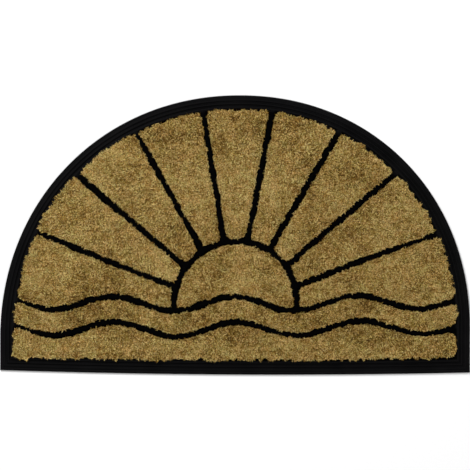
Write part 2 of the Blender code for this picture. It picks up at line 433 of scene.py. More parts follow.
def spread_of(tree, value, span, onto):
    """Spreads the values of one span over another."""
    spread = tree.nodes.new("ShaderNodeMapRange")
    for socket, number in zip(("From Min", "From Max", "To Min", "To Max"), (*span, *onto)):
        spread.inputs[socket].default_value = number
    tree.links.new(value, spread.inputs["Value"])
    return spread.outputs["Result"]


def sum_of(tree, *values):
    """Adds values up."""
    total = values[0]
    for value in values[1:]:
        adding = tree.nodes.new("ShaderNodeMath")
        adding.operation = "ADD"
        tree.links.new(total, adding.inputs[0])
        tree.links.new(value, adding.inputs[1])
        total = adding.outputs[0]
    return total


def ramp_of(tree, value, stops):
    """A colour ramp through (place, linear colour) stops."""
    ramp = tree.nodes.new("ShaderNodeValToRGB")
    elements = ramp.color_ramp.elements
    elements.remove(elements[1])
    elements[0].position, elements[0].color = stops[0][0], (*stops[0][1], 1)
    for place, colour in stops[1:]:
        elements.new(place).color = (*colour, 1)
    tree.links.new(value, ramp.inputs["Fac"])
    return ramp.outputs["Color"]


def bump_of(tree, value, depth, strength, under=None):
    """A bump this deep, on top of another if there is one."""
    bump = tree.nodes.new("ShaderNodeBump")
    bump.inputs["Distance"].default_value = depth
    bump.inputs["Strength"].default_value = strength
    tree.links.new(value, bump.inputs["Height"])
    if under:
        tree.links.new(under, bump.inputs["Normal"])
    return bump.outputs["Normal"]


WHOLE = (0, 1)  # the span of an attribute
NOISE_SPAN = (0.3, 0.7)  # most of a noise texture's values
RUBBER_TONES = (
    (0.0, (0.0005, 0.0005, 0.0006)),
    (0.1, (0.0012, 0.0012, 0.0014)),
    (0.55, (0.0030, 0.0029, 0.0031)),
    (1.0, (0.0062, 0.0060, 0.0062)),
)
PEBBLE_SIZE = 0.0007
PEBBLE_DEPTH = 0.00008
PEBBLE_STRENGTH = 0.5
PEBBLE_TONES = (0.0, 0.15)
WORN_SIZE = 0.045
WORN_DEPTH = 0.0004
WORN_STRENGTH = 0.25
WORN_TONES = (0.0, 0.4)
# Painted shade: the ribs down in the field among the pile are darker. The border is a little lighter
# with wear.
RIB_SHADE_AND_BORDER_WEAR_TONES = (-0.5, 0.14)  # down in the field, and on the border
RUBBER_GLOSS = (0.01, 0.035)
RUBBER_ROUGHNESS = (0.5, 0.72)
BOTH_NOISES_SPAN = (0.7, 1.3)  # most of what two noise textures add up to


def make_rubber():
    """Matt moulded rubber: black, finely pebbled, a little greyer where feet rub the border's
    ridges, and with painted shade that darkens the ribs down among the pile.
    """
    rubber, tree, shader = shader_material("black_moulded_rubber")
    place = object_place(tree)
    pebbles = noise_of(tree, place, PEBBLE_SIZE, 2)
    worn = noise_of(tree, place, WORN_SIZE, 4)
    on_border = attribute_of(tree, "border")
    tone = sum_of(
        tree,
        # painted shade on the ribs, wear on the border
        spread_of(tree, on_border, WHOLE, RIB_SHADE_AND_BORDER_WEAR_TONES),
        spread_of(tree, worn, NOISE_SPAN, WORN_TONES),
        spread_of(tree, pebbles, NOISE_SPAN, PEBBLE_TONES),
    )
    roughness = spread_of(tree, sum_of(tree, worn, pebbles), BOTH_NOISES_SPAN, RUBBER_ROUGHNESS)
    gloss = spread_of(tree, on_border, WHOLE, RUBBER_GLOSS)
    mould = bump_of(tree, worn, WORN_DEPTH, WORN_STRENGTH)
    pebbled = bump_of(tree, pebbles, PEBBLE_DEPTH, PEBBLE_STRENGTH, mould)
    tree.links.new(ramp_of(tree, tone, RUBBER_TONES), shader.inputs["Base Color"])
    tree.links.new(roughness, shader.inputs["Roughness"])
    tree.links.new(gloss, shader.inputs["Specular IOR Level"])
    tree.links.new(pebbled, shader.inputs["Normal"])
    return rubber


tray.data.materials.append(make_rubber())
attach(tray, "root")
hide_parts("rubber_tray")

# Coir pile.
# Twelve blocks of coconut fibre brush, each set on end in its own pocket of the tray and sheared
# level. The strands are stiff and uneven, lean together in tufts, and splay out over the rubber.

PILE_BOTTOM = 0.0033
LEDGE = 0.0088  # the block's own outline, where it comes clear of the rubber
PILE_TOP = 0.0126
ROOTS_TOP = 0.0096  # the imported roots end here, and the strands part
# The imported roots' side, from the bottom up: its height, and how far in from the pile's edge it is
ROOTS_SIDE = ((PILE_BOTTOM, 0.0004), (0.0083, 0.0002), (0.0090, 0.0007), (ROOTS_TOP, 0.0017))
ROOTS_STEP = 0.0018
MM = 1000  # in a metre
ABOVE = 1  # well over the mat

TUFT_PITCH = 0.0037
TUFT_PULL = 0.42  # share of the way to the tuft's middle that a strand leans
TUFT_RADIUS = 0.6  # of the pitch
TUFT_DOME = 0.0013  # the strands at a tuft's rim end this much lower
TUFT_DOME_END = 1.2  # of the tuft's radius, past which they end no lower
TUFT_UNEVEN = 0.0005
SUNK_TUFTS = 0.16  # of all tufts, those that the shears missed or that were pulled thin
SUNK_TUFT_DROP = 0.0014
TUFT_CELLS = 512
TUFT_SEED = 11

STRAND_PITCH = 0.00109
STRAND_JITTER = 0.45  # of the pitch
STRAND_RADIUS = 0.00039
STRAND_STOUTNESS = (0.62, 1.25)  # of that radius
STRAND_RISE = 0.0005  # the tallest strands stand this much over the block
STRAND_LEAN = 0.0009
STRAND_SHARE_SUNK = 1.1  # a strand goes on into the roots for this share of its free length
COMB_LEAN = 0.0014  # brushing leaves the pile leaning one way in patches
COMB_SIZE = 0.016
COMB_SEEDS = (31, 32)  # one for the lean across the mat, and one for the lean up it
SHEAR_UNEVEN = 0.00022

EDGE_WIDTH = 0.0080  # a block's edge is pushed in or out over this width
EDGE_SPLAY_WIDTH = 0.0028
EDGE_SPLAY_UNEVEN = 0.0003
EDGE_DROP = 0.0007
EDGE_OVER_RIB = -0.0005  # how far the edge stands out over a rib, on average
# How uneven the edge is: each length along it, how much over a rib and how much over the border
EDGE_UNEVEN = (
    (0.0024, 0.0009, 0.0026),
    (0.0060, 0.0014, 0.0024),
    (0.0200, 0.0010, 0.0012),
    (0.0900, 0.0004, 0.0008),
)
EDGE_SEED = 33
# About each of these places, all of them ends of ribs, the pile stands out this much further
Lean = namedtuple("Lean", "x y reach out")
LEANS = (
    Lean(-0.3480, -0.1037, 0.024, 0.0017),
    Lean(-0.3550, -0.1459, 0.022, 0.0020),
    Lean(-0.3194, 0.0033, 0.018, 0.0019),
    Lean(-0.1573, 0.1638, 0.013, 0.0022),
)
# How far each block's pile stands out over the border, at its left and its right
EDGE_OVER_BORDER = {
    "coir_ray_1": (-0.0019, 0.0022),
    "coir_ray_2": (0.0026, 0.0026),
    "coir_ray_3": (-0.0005, -0.0014),
    "coir_ray_4": (-0.0019, -0.0028),
    "coir_ray_5": (-0.0017, -0.0011),
    "coir_ray_6": (-0.0024, -0.0008),
    "coir_ray_7": (-0.0025, -0.0045),
    "coir_ray_8": (-0.0034, -0.0031),
    "coir_ray_9": (-0.0021, -0.0007),
    "coir_wave": (0.0004, -0.0004),
    "coir_foot": (0.0009, -0.0040),
}
# And how much further where it faces the mat's left or right side
EDGE_OVER_SIDES = {"coir_foot": (-0.0010, 0.0030)}
EDGE_ROOTS_OUT = 0.0003  # the roots never stand out further, only the strands' ends
EDGE_ROOTS_IN = -0.0060
# The outline is eased over this length at a block's left and right, which rounds its corners
CORNER_ROUND = (0.0044, 0.0044)
CORNER_ROUND_OF = {"coir_foot": (0.0030, 0.0130), "coir_wave": (0.0038, 0.0055)}
CORNER_SHARE_INSIDE = 0.4  # the corners between ribs are rounded less than those at the border
STATION_GAP = 0.0009
OUTLINE_PIECE = 0.008
# What holds along the border only: how far in from it that has ended, and over what width it fades
Fade = namedtuple("Fade", "end width")
ALONG_BORDER = Fade(0.003, 0.002)  # an edge faces the border here, and a rib further in
ROUND_BY_BORDER = Fade(0.014, 0.008)  # corners are rounded in full
TRUE_TO_BORDER = Fade(0.012, 0.008)  # an outline keeps its gap to the border

FRINGE_PITCH = 0.00042
FRINGE_SHARE_SUNK = 1.0
FRINGE_REACH = 0.0021
FRINGE_SIDEWAYS = 0.0007
FRINGE_SET_IN = 0.0006
FRINGE_BOTTOM = LEDGE - 0.0003
FRINGE_ROWS = 0.0012  # the highest strands start this much above the lowest
FRINGE_LIFT = 0.0012  # a tip lies this much above its root
FRINGE_LIFT_ON_TOP = 0.0017  # and up to this much more in the higher rows
FRINGE_UNEVEN = 0.0005

STRAY_SHARE = 0.075  # of all strands, long ones that curl over the rest
STRAY_RADIUS = 0.00034
STRAY_STOUTNESS = (0.7, 1.2)
STRAY_TAPER = 0.8
STRAY_REACH = 0.0042
STRAY_SHORTEST = 0.35  # of that reach
STRAY_BEND = 0.3  # share of its reach at which a stray bends
STRAY_DIP = 0.0002  # and its bend lies this far under the cut ends about it
STRAY_CURL = 0.45  # share of its reach that it turns aside past the bend, at most
STRAY_RISE = (0.0001, 0.0009)
STRAY_SHARE_SUNK = 0.4

LATTICE = 640


def drift(places, size, seed):
    """Smooth random numbers from -1 to 1 over the mat, which change over about this size."""
    lattice = np.random.default_rng(seed).uniform(-1, 1, (LATTICE, LATTICE))
    at = places / size + LATTICE / 2
    cell = np.floor(at).astype(int)
    share = at - cell
    share = share * share * (3 - 2 * share)
    i, j = cell.T % (LATTICE - 1)
    u, v = share.T
    low = lattice[i, j] * (1 - u) + lattice[i + 1, j] * u
    high = lattice[i, j + 1] * (1 - u) + lattice[i + 1, j + 1] * u
    return low * (1 - v) + high * v


def merged_block(node, name):
    """A copy of a packed block with its loose triangles joined."""
    block = bpy.data.objects.new(name, bpy.data.objects[node].data.copy())
    bpy.context.collection.objects.link(block)
    weld(block)
    return block


def block_outline(block):
    """The corners of a block's outline in turn, anticlockwise as seen from above."""
    places = np.array([corner.co[:] for corner in block.data.vertices])
    on_ledge = abs(places[:, 2] - LEDGE) < WELD
    beside = {}
    for edge in block.data.edges:
        one, other = edge.vertices
        if on_ledge[one] and on_ledge[other]:
            beside.setdefault(one, []).append(other)
            beside.setdefault(other, []).append(one)
    loop = [min(beside)]
    loop.append(beside[loop[0]][0])
    while len(loop) < len(beside):
        loop.append(next(step for step in beside[loop[-1]] if step != loop[-2]))
    loop = places[loop][:, :2]
    x, y = loop.T
    return loop if (x * np.roll(y, -1) - np.roll(x, -1) * y).sum() > 0 else loop[::-1]


def share_at_border(from_rim, fade):
    """1 along the border, down to 0 further in."""
    return np.clip((GROOVE_END + fade.end - from_rim) / fade.width, 0, 1)


def moved_outline(loop):
    """A block's outline, cut into short pieces and moved as the ribs are, true to the border."""
    ahead = np.roll(loop, -1, 0) - loop
    cuts = np.ceil(np.linalg.norm(ahead, axis=1) / OUTLINE_PIECE).astype(int)
    piece = np.repeat(np.arange(len(loop)), cuts)
    share = np.concatenate([np.arange(count) / count for count in cuts])
    loop = loop[piece] + share[:, None] * ahead[piece]
    moved = out_of_true(loop)
    outward = to_rim(loop)
    from_rim = np.linalg.norm(outward, axis=1)[:, None]
    outward /= from_rim
    held = share_at_border(from_rim, TRUE_TO_BORDER)
    return loop + moved - held * (moved * outward).sum(1)[:, None] * outward


def values_at(at, marks, values, period=None):
    """The places or directions between those that are known at the marks along a line."""
    return np.column_stack([np.interp(at, marks, column, period=period) for column in values.T])


def stations_along(loop):
    """Places a short step apart along a closed line, and how far along it each lies."""
    closed = np.vstack([loop, loop[:1]])
    along = np.concatenate([[0], np.cumsum(np.linalg.norm(np.diff(closed, axis=0), axis=1))])
    marks = np.linspace(0, along[-1], round(along[-1] / STATION_GAP), endpoint=False)
    return values_at(marks, along, closed), marks, along


def softened(stations, length):
    """A closed line of stations with its corners eased over a length."""
    reach = round(3 * length / STATION_GAP)
    offsets = np.arange(-reach, reach + 1)
    weights = np.exp(-0.5 * (offsets * STATION_GAP / length) ** 2)
    return sum(w * np.roll(stations, k, 0) for w, k in zip(weights / weights.sum(), offsets))


BlockEdge = namedtuple(
    "BlockEdge", "outline along stations marks rounding outward over_border over_sides"
)


def edge_of(node, block):
    """A block's outline, with the way that its corners are rounded and its strands point out."""
    loop = moved_outline(block_outline(block))
    stations, marks, along = stations_along(loop)
    lengths = CORNER_ROUND_OF.get(node, CORNER_ROUND)
    left, right = (softened(stations, length) for length in lengths)
    low, high = loop[:, 0].min(), loop[:, 0].max()
    share = ((stations[:, 0] - low) / (high - low))[:, None]
    rounded = left * (1 - share) + right * share
    ahead = np.roll(rounded, -1, 0) - np.roll(rounded, 1, 0)
    outward = np.column_stack([ahead[:, 1], -ahead[:, 0]])
    outward /= np.linalg.norm(outward, axis=1)[:, None]
    return BlockEdge(
        outline=pieces_of(loop),
        along=along,
        stations=stations,
        marks=marks,
        rounding=rounded - stations,
        outward=outward,
        over_border=EDGE_OVER_BORDER.get(node, (0, 0)),
        over_sides=EDGE_OVER_SIDES.get(node, (0, 0)),
    )


def edge_at(edge, on_edge, piece):
    """At places on a block's outline: its rounding, how far the pile stands out, and which way."""
    at = edge.along[piece] + np.linalg.norm(on_edge - edge.outline[piece, 0], axis=1)
    rounding, out = (
        values_at(at, edge.marks, values, period=edge.along[-1])
        for values in (edge.rounding, edge.outward)
    )
    from_rim = np.linalg.norm(to_rim(on_edge), axis=1)
    corners = share_at_border(from_rim, ROUND_BY_BORDER)[:, None]
    rounding = rounding * (CORNER_SHARE_INSIDE + (1 - CORNER_SHARE_INSIDE) * corners)
    low, high = edge.outline[:, :, 0].min(), edge.outline[:, :, 0].max()
    left, right = edge.over_border
    over_border = left + (right - left) * (on_edge[:, 0] - low) / (high - low)
    for side, turned in zip(edge.over_sides, (-1, 1)):
        over_border += side * np.clip(turned * out[:, 0], 0, 1) ** 2
    over_rib = EDGE_OVER_RIB + sum(lean.out * nearness(on_edge, lean) for lean in LEANS)
    at_border = share_at_border(from_rim, ALONG_BORDER)
    reach = over_rib + (over_border - over_rib) * at_border
    for seed, (size, on_rib, on_border) in enumerate(EDGE_UNEVEN, EDGE_SEED):
        reach += (on_rib + (on_border - on_rib) * at_border) * drift(on_edge, size, seed)
    return rounding, reach, out


def tufts_at(places):
    """The middle of the tuft that holds each place, and that tuft's own random number."""
    cell = np.floor(places / TUFT_PITCH).astype(int)
    marks = np.random.default_rng(TUFT_SEED).uniform(0, 1, (TUFT_CELLS, TUFT_CELLS, 3))
    least = np.full(len(places), np.inf)
    middle, mark = np.zeros_like(places), np.zeros(len(places))
    for step in np.ndindex(3, 3):
        at = cell + np.array(step) - 1
        own = marks[at[:, 0] % TUFT_CELLS, at[:, 1] % TUFT_CELLS]
        centre = (at + own[:, :2]) * TUFT_PITCH
        gap = ((centre - places) ** 2).sum(1)
        closer = gap < least
        least = np.where(closer, gap, least)
        middle[closer], mark[closer] = centre[closer], own[closer, 2]
    return middle, mark


def pack_roots(edge):
    """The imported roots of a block: a closed body, drawn in at the edge as the pile is."""
    every = round(ROOTS_STEP / STATION_GAP)
    places, at = edge.stations[::every], edge.marks[::every]
    piece = np.searchsorted(edge.along, at, side="right") - 1
    rounding, reach, out = edge_at(edge, places, piece)
    push = np.clip(reach, EDGE_ROOTS_IN, EDGE_ROOTS_OUT)
    around = len(places)
    rings = []
    for height, inset in ROOTS_SIDE:
        moved = rounding + (push - inset)[:, None] * out
        for _ in range(2):  # evened out, so the side doesn't fold at a sharp corner
            moved = (np.roll(moved, 1, 0) + 2 * moved + np.roll(moved, -1, 0)) / 4
        rings.append(np.column_stack([places + moved, np.full(around, height)]))
    here = np.arange(around)
    there = np.roll(here, -1)
    faces = []
    for low in range(0, around * (len(ROOTS_SIDE) - 1), around):
        high = low + around
        faces.append(np.column_stack([here + low, there + low, there + high]))
        faces.append(np.column_stack([here + low, there + high, here + high]))
    for number, upward in ((0, False), (len(ROOTS_SIDE) - 1, True)):
        in_mm = [Vector(corner) * MM for corner in rings[number]]  # metres are too small to fill
        lid = np.sort(tessellate_polygon([in_mm]), 1)  # anticlockwise like the ring: it faces up
        faces.append((lid if upward else lid[:, ::-1]) + around * number)
    return np.concatenate(rings), np.concatenate(faces)


def top_at(solid, places):
    """The height of a block's top at each place, with the block moved as the ribs are."""
    places = places - out_of_true(places)
    down = Vector((0, 0, -1))
    hits = (solid.ray_cast(Vector((x, y, ABOVE)), down, 2 * ABOVE)[0] for x, y in places)
    return np.array([hit.z if hit else PILE_TOP for hit in hits])


def upright_strands(edge, solid, rng):
    """Short straight strands all over a block: where each leaves the roots, and its cut end."""
    low, high = edge.outline.min((0, 1)), edge.outline.max((0, 1))
    x, y = (np.arange(a, b, STRAND_PITCH) for a, b in zip(low, high))
    grid = np.stack(np.meshgrid(x, y), -1)
    grid[1::2, :, 0] += STRAND_PITCH / 2
    places = grid.reshape(-1, 2)
    jitter = rng.uniform(-STRAND_JITTER, STRAND_JITTER, places.shape)
    places = places + jitter * STRAND_PITCH
    nearest, piece, inside = nearest_on(edge.outline, places)
    places, nearest = places[inside], nearest[inside]
    height = top_at(solid, places) + STRAND_RISE

    gap = np.linalg.norm(nearest - places, axis=1)
    rounding, reach, out = edge_at(edge, nearest, piece[inside])
    push = np.clip(reach, EDGE_ROOTS_IN, EDGE_ROOTS_OUT)
    near_edge = np.clip(1 - gap / EDGE_WIDTH, 0, 1)[:, None]
    places = places + (rounding + push[:, None] * out) * near_edge
    rim = np.clip(1 - gap / EDGE_SPLAY_WIDTH, 0, 1)

    middle, mark = tufts_at(places)
    to_middle = middle - places
    lean = TUFT_PULL * to_middle + rng.normal(0, STRAND_LEAN, places.shape)
    lean += COMB_LEAN * np.stack([drift(places, COMB_SIZE, seed) for seed in COMB_SEEDS], 1)
    uneven = rng.uniform(-EDGE_SPLAY_UNEVEN, EDGE_SPLAY_UNEVEN, len(places))
    wanted = reach - push + uneven
    lean += (rim * (wanted - (lean * out).sum(1)))[:, None] * out

    apart = np.linalg.norm(to_middle, axis=1) / (TUFT_PITCH * TUFT_RADIUS)
    height = height + TUFT_UNEVEN * (2 * mark - 1)
    height -= np.where(mark < SUNK_TUFTS, SUNK_TUFT_DROP, 0)
    dome = TUFT_DOME * np.clip(apart, 0, TUFT_DOME_END) ** 2
    height += rng.normal(0, SHEAR_UNEVEN, len(places)) - dome
    height -= EDGE_DROP * rim
    roots = np.column_stack([places, ROOTS_TOP - EDGE_DROP * rim])
    return roots, np.column_stack([places + lean, height]), mark


def fringe_strands(edge, rng):
    """Strands along a block's edge, which lean out over the rubber in uneven tufts."""
    starts, ends = edge.outline[:, 0], edge.outline[:, 1]
    lengths = np.linalg.norm(ends - starts, axis=1)
    counts = np.maximum(1, np.round(lengths / FRINGE_PITCH)).astype(int)
    piece = np.repeat(np.arange(len(starts)), counts)
    share = rng.uniform(0, 1, len(piece))[:, None]
    on_edge = starts[piece] + share * (ends - starts)[piece]
    rounding, reach, out = edge_at(edge, on_edge, piece)
    on_edge = on_edge + rounding
    push = np.clip(reach, EDGE_ROOTS_IN, EDGE_ROOTS_OUT)
    level = rng.uniform(0, 1, len(piece))
    further = FRINGE_REACH * rng.uniform(-1, 1, len(piece)) ** 3
    sideways = rng.normal(0, FRINGE_SIDEWAYS, len(piece))[:, None]
    side = np.column_stack([-out[:, 1], out[:, 0]]) * sideways
    roots = on_edge + out * (push - FRINGE_SET_IN)[:, None]
    tips = on_edge + out * (np.maximum(reach, push) + further)[:, None] + side
    low = FRINGE_BOTTOM + FRINGE_ROWS * level
    high = low + FRINGE_LIFT + FRINGE_LIFT_ON_TOP * level
    high += rng.uniform(0, FRINGE_UNEVEN, len(piece))
    roots = np.column_stack([roots, low])
    tips = np.column_stack([tips, high])
    return roots, tips, tufts_at(on_edge)[1]


def stray_strands(roots, tips, rng):
    """Long thin strands that start among the others and curl over them."""
    picked = rng.choice(len(roots), int(STRAY_SHARE * len(roots)), replace=False)
    roots, tips = roots[picked], tips[picked]
    turn = rng.uniform(0, math.tau, len(picked))
    reach = STRAY_REACH * rng.uniform(STRAY_SHORTEST, 1, len(picked))
    across = np.column_stack([np.cos(turn), np.sin(turn), np.zeros(len(picked))]) * reach[:, None]
    bends = tips + across * STRAY_BEND
    bends[:, 2] = tips[:, 2] - STRAY_DIP
    curl = np.column_stack([-across[:, 1], across[:, 0], across[:, 2]])
    curl *= rng.uniform(-STRAY_CURL, STRAY_CURL, len(picked))[:, None]
    ends = bends + across * (1 - STRAY_BEND) + curl
    ends[:, 2] = bends[:, 2] + rng.uniform(*STRAY_RISE, len(picked))
    return roots, bends, ends, picked


def sunk_ends(roots, tips, share):
    """The lower ends of strands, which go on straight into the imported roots."""
    return roots - (tips - roots) * share


def ring_round(middles, radii, turns):
    """Three corners round each middle, level with it."""
    turns = turns[:, None] + np.arange(3) * math.tau / 3
    around = np.stack([np.cos(turns), np.sin(turns), np.zeros_like(turns)], 2)
    return middles[:, None] + around * radii[:, None, None]


def straight_bodies(sunk, tips, rng):
    """Strands that are thin at their sunk end and cut off flat at their tip."""
    radii = STRAND_RADIUS * rng.uniform(*STRAND_STOUTNESS, len(sunk))
    turns = rng.uniform(0, math.tau, len(sunk))
    return np.concatenate([sunk[:, None], ring_round(tips, radii, turns)], 1)


def bent_bodies(sunk, bends, ends, rng):
    """Strands that bend on their way from their sunk end to their tip."""
    radii = STRAY_RADIUS * rng.uniform(*STRAY_STOUTNESS, len(sunk))
    turns = rng.uniform(0, math.tau, len(sunk))
    at_bend = ring_round(bends, radii, turns)
    at_end = ring_round(ends, radii * STRAY_TAPER, turns)
    return np.concatenate([sunk[:, None], at_bend, at_end], 1)


# The faces of a strand, by its corners, and its small map: corner 0 is its sunk end
STRAIGHT_CORNERS = 4
STRAIGHT_FACES = np.array(((1, 2, 3), (0, 2, 1), (0, 3, 2), (0, 1, 3)))
STRAIGHT_MAP = np.array((
    ((0.14, 0.74), (0.86, 0.74), (0.50, 0.96)),
    ((0.50, 0.04), (0.35, 0.67), (0.04, 0.67)),
    ((0.50, 0.04), (0.65, 0.67), (0.35, 0.67)),
    ((0.50, 0.04), (0.96, 0.67), (0.65, 0.67)),
))
BENT_CORNERS = 7
BENT_FACES = np.array((
    (4, 5, 6), (0, 2, 1), (0, 3, 2), (0, 1, 3),
    (1, 2, 5), (1, 5, 4), (2, 3, 6), (2, 6, 5), (3, 1, 4), (3, 4, 6),
))
BENT_MAP = np.array((
    ((0.14, 0.79), (0.86, 0.79), (0.50, 0.97)),
    ((0.50, 0.03), (0.35, 0.36), (0.04, 0.36)),
    ((0.50, 0.03), (0.65, 0.36), (0.35, 0.36)),
    ((0.50, 0.03), (0.96, 0.36), (0.65, 0.36)),
    ((0.04, 0.36), (0.35, 0.36), (0.35, 0.73)), ((0.04, 0.36), (0.35, 0.73), (0.04, 0.73)),
    ((0.35, 0.36), (0.65, 0.36), (0.65, 0.73)), ((0.35, 0.36), (0.65, 0.73), (0.35, 0.73)),
    ((0.65, 0.36), (0.96, 0.36), (0.96, 0.73)), ((0.65, 0.36), (0.96, 0.73), (0.65, 0.73)),
))
LONE_MAP = np.array((((0.06, 0.06), (0.94, 0.06), (0.50, 0.94)),))
ROOTS_MAP_TOP = 0.17  # the map's lower part holds the roots by place, and the rest the strands
STRANDS_MAP_BOTTOM = 0.18
MAP_MARGIN = 0.01
LOOKS_UP = 0.5  # of a face's normal, the upward share from which it counts as the roots' top
# Painted shade: the roots' body under the strands is coloured as dark as the darkest strand.
BED_SHADE_TONE = -0.25  # under 0, so as dark as the darkest strand
STRAY_TONES = (0.3, 1.2)  # many of them are as light as the lightest strand


def faces_of(first, count, corners, shape):
    """The faces of like strands, whose corners follow each other from the first one on."""
    return ((first + corners * np.arange(count))[:, None, None] + shape).reshape(-1, 3)


def map_cells(first, count, columns, rows, shape):
    """Lays each strand's own small map in its own cell of the piece's map."""
    number = np.arange(first, first + count)
    cell = np.stack([number % columns, number // columns], 1)
    size = np.array([1 / columns, (1 - STRANDS_MAP_BOTTOM) / rows])
    corner = cell * size + (0, STRANDS_MAP_BOTTOM)
    return corner[:, None, None] + shape[None] * size


def map_of(bed, bed_faces, on_top, count, stray_count):
    """The piece's map: the roots' top by place, and a cell for each other face and each strand."""
    lone = int((~on_top).sum())
    cells = count + stray_count + lone
    columns = math.ceil(math.sqrt(cells / (1 - STRANDS_MAP_BOTTOM)))
    rows = math.ceil(cells / columns)
    bed_map = np.empty((len(bed_faces), 3, 2))
    low, high = bed[:, :2].min(0), bed[:, :2].max(0)
    by_place = (bed[bed_faces][:, :, :2] - low) / (high - low)
    room = (1 - 2 * MAP_MARGIN, ROOTS_MAP_TOP - MAP_MARGIN)
    bed_map[on_top] = by_place[on_top] * room + (MAP_MARGIN, MAP_MARGIN / 2)
    bed_map[~on_top] = map_cells(count + stray_count, lone, columns, rows, LONE_MAP)[:, 0]
    return np.concatenate([
        bed_map.reshape(-1, 2),
        map_cells(0, count, columns, rows, STRAIGHT_MAP).reshape(-1, 2),
        map_cells(count, stray_count, columns, rows, BENT_MAP).reshape(-1, 2),
    ])


def by_corner(bed_values, straight_values, bent_values):
    """A number for each corner of a pile: the bed's own, and each strand's for all its corners."""
    return np.concatenate([
        bed_values,
        np.repeat(straight_values, STRAIGHT_CORNERS),
        np.repeat(bent_values, BENT_CORNERS),
    ])


def mesh_of(name, places, faces, uv, smooth, values):
    """One mesh from arrays, with its map and the random numbers that its colours read."""
    mesh = bpy.data.meshes.new(name)
    mesh.vertices.add(len(places))
    mesh.vertices.foreach_set("co", places.ravel().astype(np.float32))
    mesh.loops.add(faces.size)
    mesh.loops.foreach_set("vertex_index", faces.ravel().astype(np.int32))
    mesh.polygons.add(len(faces))
    mesh.polygons.foreach_set("loop_start", np.arange(0, faces.size, 3, dtype=np.int32))
    mesh.polygons.foreach_set("use_smooth", smooth)
    mesh.update(calc_edges=True)
    layer = mesh.uv_layers.new(name="OFBake")
    layer.data.foreach_set("uv", uv.ravel().astype(np.float32))
    for title, numbers in values.items():
        attribute = mesh.attributes.new(title, "FLOAT", "POINT")
        attribute.data.foreach_set("value", numbers.astype(np.float32))
    mesh.validate()
    return mesh


def make_pile(node, name, seed):
    """A block of brush pile: its packed roots and every strand, in one piece."""
    rng = np.random.default_rng(seed)
    block = merged_block(node, name)
    edge = edge_of(node, block)
    solid = BVHTree.FromObject(block, bpy.context.evaluated_depsgraph_get())
    bpy.data.objects.remove(block)

    roots, tips, mark = upright_strands(edge, solid, rng)
    edge_roots, edge_tips, edge_mark = fringe_strands(edge, rng)
    stray_roots, bends, ends, picked = stray_strands(roots, tips, rng)
    sunk = np.concatenate([
        sunk_ends(roots, tips, STRAND_SHARE_SUNK),
        sunk_ends(edge_roots, edge_tips, FRINGE_SHARE_SUNK),
    ])
    straight = straight_bodies(sunk, np.concatenate([tips, edge_tips]), rng)
    bent = bent_bodies(sunk_ends(stray_roots, bends, STRAY_SHARE_SUNK), bends, ends, rng)
    count, stray_count = len(straight), len(bent)

    bed, bed_faces = pack_roots(edge)
    places = np.concatenate([bed, straight.reshape(-1, 3), bent.reshape(-1, 3)])
    first_bent = len(bed) + count * STRAIGHT_CORNERS
    faces = np.concatenate([
        bed_faces,
        faces_of(len(bed), count, STRAIGHT_CORNERS, STRAIGHT_FACES),
        faces_of(first_bent, stray_count, BENT_CORNERS, BENT_FACES),
    ])
    a, b, c = (bed[bed_faces[:, k]] for k in range(3))
    normal = np.cross(b - a, c - a)
    on_top = normal[:, 2] > LOOKS_UP * np.linalg.norm(normal, axis=1)
    smooth = np.zeros(len(faces), bool)
    smooth[: len(bed_faces)] = on_top

    tones, stray_tones = rng.uniform(0, 1, count), rng.uniform(*STRAY_TONES, stray_count)
    bed_mark = tufts_at(bed[:, :2])[1]
    values = {
        # the roots' body gets a painted shade tone
        "strand": by_corner(np.full(len(bed), BED_SHADE_TONE), tones, stray_tones),
        "tuft": by_corner(bed_mark, np.concatenate([mark, edge_mark]), mark[picked]),
    }
    uv = map_of(bed, bed_faces, on_top, count, stray_count)
    pile = bpy.data.objects.new(name, mesh_of(name, places, faces, uv, smooth, values))
    bpy.context.collection.objects.link(pile)
    return pile


COIR_TONES = (
    (0.00, (0.044, 0.0146, 0.0010)),
    (0.25, (0.282, 0.142, 0.0162)),
    (0.50, (0.629, 0.423, 0.0990)),
    (0.75, (0.782, 0.592, 0.1945)),
    (1.00, (0.866, 0.701, 0.3260)),
)
STRAND_TONES = (-0.24, 0.58)
# A tuft's tone follows the same random number as its height, so low and sunk tufts are darker:
# painted shade on top of each tuft's own tone.
TUFT_TONE_AND_SHADE = (0.05, 0.39)
CLUMP_SIZE = 0.0075
CLUMP_TONES = (-0.19, 0.27)
SHADES_FROM = (6.5655, 3.6769, 0)  # lays the lighter shades over the mat's left and middle
SHADES_SIZE = 0.1
SHADES_TONES = (0.19, -0.19)
PATCH_SIZE = 0.028
PATCH_TONES = (-0.09, 0.23)
FLECK_SIZE = 0.0014
FLECK_SPAN = (0.3, 0.50)
FLECK_TONES = (-1.50, 0.28)
PACKED_ENDS = 0.00095
PACKED_DRAWN_UP = 0.12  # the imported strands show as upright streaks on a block's sides
PACKED_SPAN = (0.15, 0.65)
# Partly painted shade: each packed end is lighter in its middle and darker towards the gaps between
# the ends.
PACKED_END_SHADE_TONES = (0.27, -0.11)
PACKED_DEPTH = 0.0004
PACKED_STRENGTH = 0.8
PACKED_ROUND = (0, 0.8)  # an end is rounded from its middle to this far out
COIR_TINTS = (
    (0.0, (0.90, 1.00, 0.82)),
    (0.5, (1.00, 0.96, 0.88)),
    (1.0, (1.00, 0.80, 0.66)),
)
HUSK_SIZE = 0.016
HUSK_TINTS = (0.0, 0.5)
FIBRE_SIZE = 0.0030
FIBRE_TINTS = (-0.25, 0.75)
